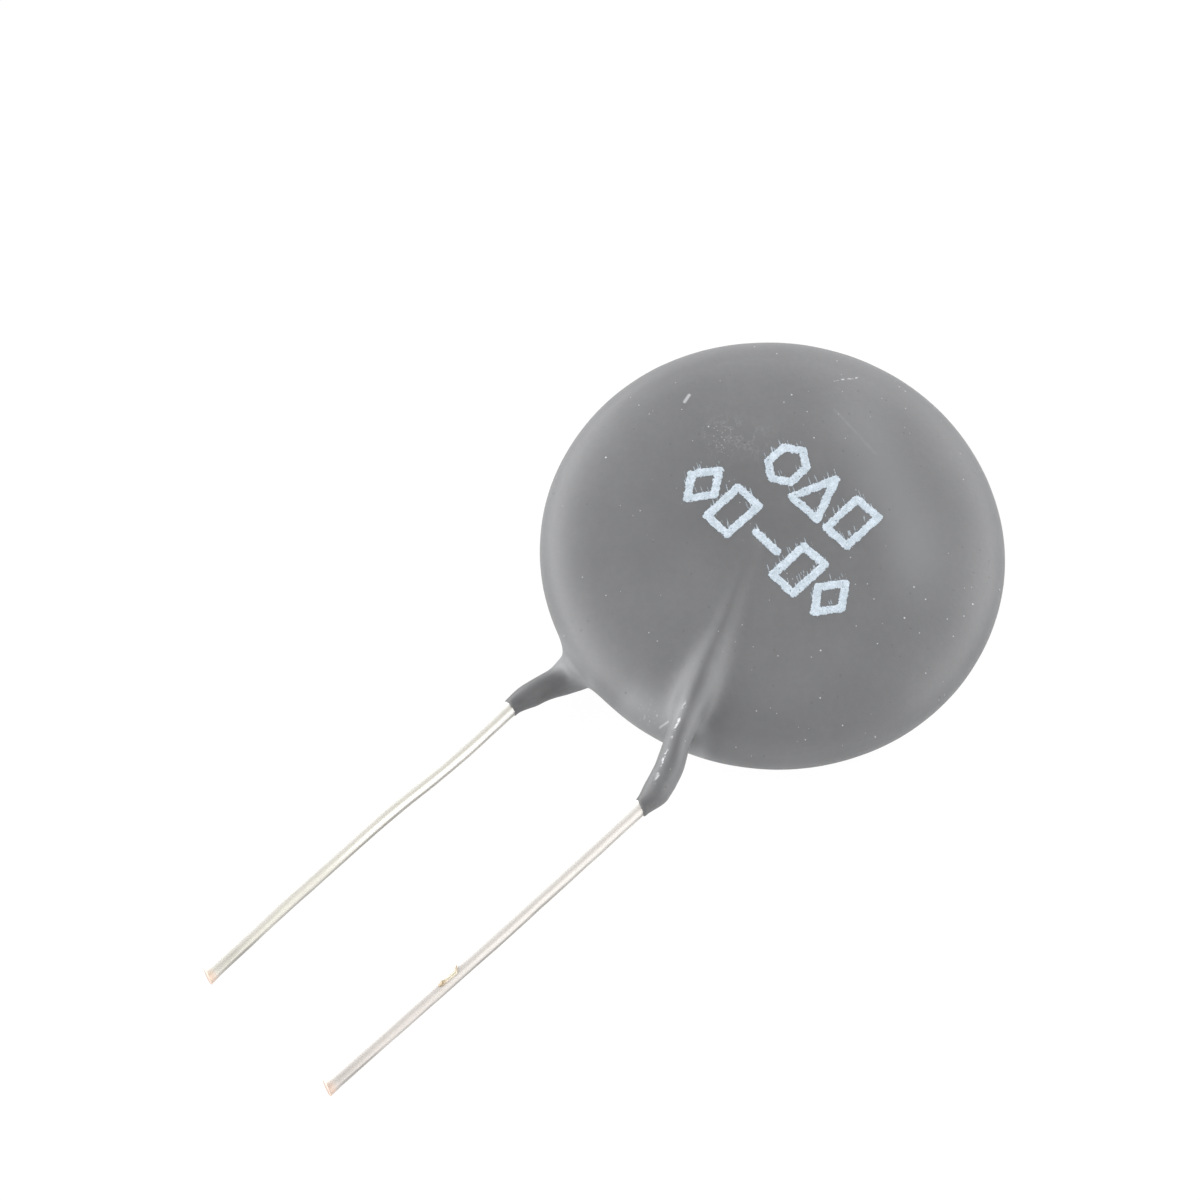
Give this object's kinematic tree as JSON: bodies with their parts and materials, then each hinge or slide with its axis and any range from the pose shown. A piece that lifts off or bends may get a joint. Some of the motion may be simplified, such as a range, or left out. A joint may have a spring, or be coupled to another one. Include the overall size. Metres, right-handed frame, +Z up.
{
  "type": "ntc thermistor",
  "caption": "Resin-coated disc with parallel wire leads for a circuit board; its resistance falls as it warms, which limits the surge at switch-on.",
  "frame": {"origin": "middle of the part's footprint, on the surface that it lies on", "axes": "+Z up; -Y along the leads, away from the disc; +X to the side that the lead over the upper face leans to"},
  "size_m": [0.028, 0.057, 0.007],
  "materials": {
    "coating": "satin grey resin",
    "ceramic": "sintered, matt",
    "silver": "fired silver, matt",
    "solder": "bright solder",
    "lead_wire": "tinned copper",
    "marking_ink": "pale blue ink"
  },
  "bodies": {
    "root": {"coating": "coating", "ceramic_disc": "ceramic", "front_electrode": "silver", "back_electrode": "silver", "front_solder": "solder", "back_solder": "solder", "front_lead": "lead_wire", "back_lead": "lead_wire"}
  },
  "joints": []
}
